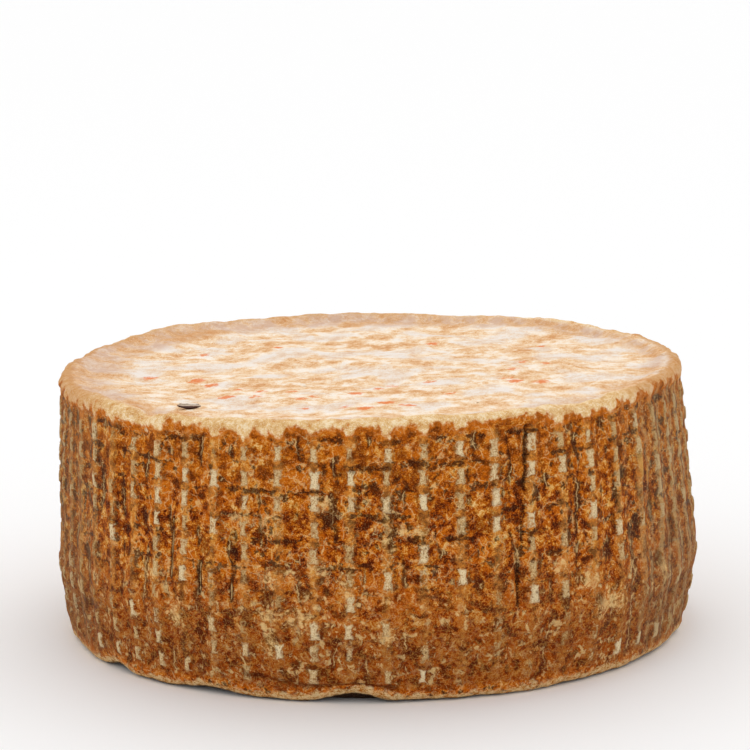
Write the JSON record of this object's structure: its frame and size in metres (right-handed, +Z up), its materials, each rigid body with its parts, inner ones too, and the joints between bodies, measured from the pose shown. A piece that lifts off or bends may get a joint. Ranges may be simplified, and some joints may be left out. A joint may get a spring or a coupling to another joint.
{
  "type": "cheese wheel",
  "caption": "Whole round wheel of natural-rind cheese: raised lip round a dished top, slumped side with a pressed net print, flat underside.",
  "frame": {"origin": "middle of the footprint, on the surface the wheel stands on", "axes": "+Z up, out of the top; -Y towards the front, where the net's seam is right of the middle; +X to the right, where the side bulges most"},
  "size_m": [0.2074, 0.2068, 0.0873],
  "materials": {
    "rind": "matt mottled natural cheese rind, tan to dark brown, with a pale bloom on the top"
  },
  "bodies": {
    "root": {"cheese_wheel": "rind"}
  },
  "joints": []
}
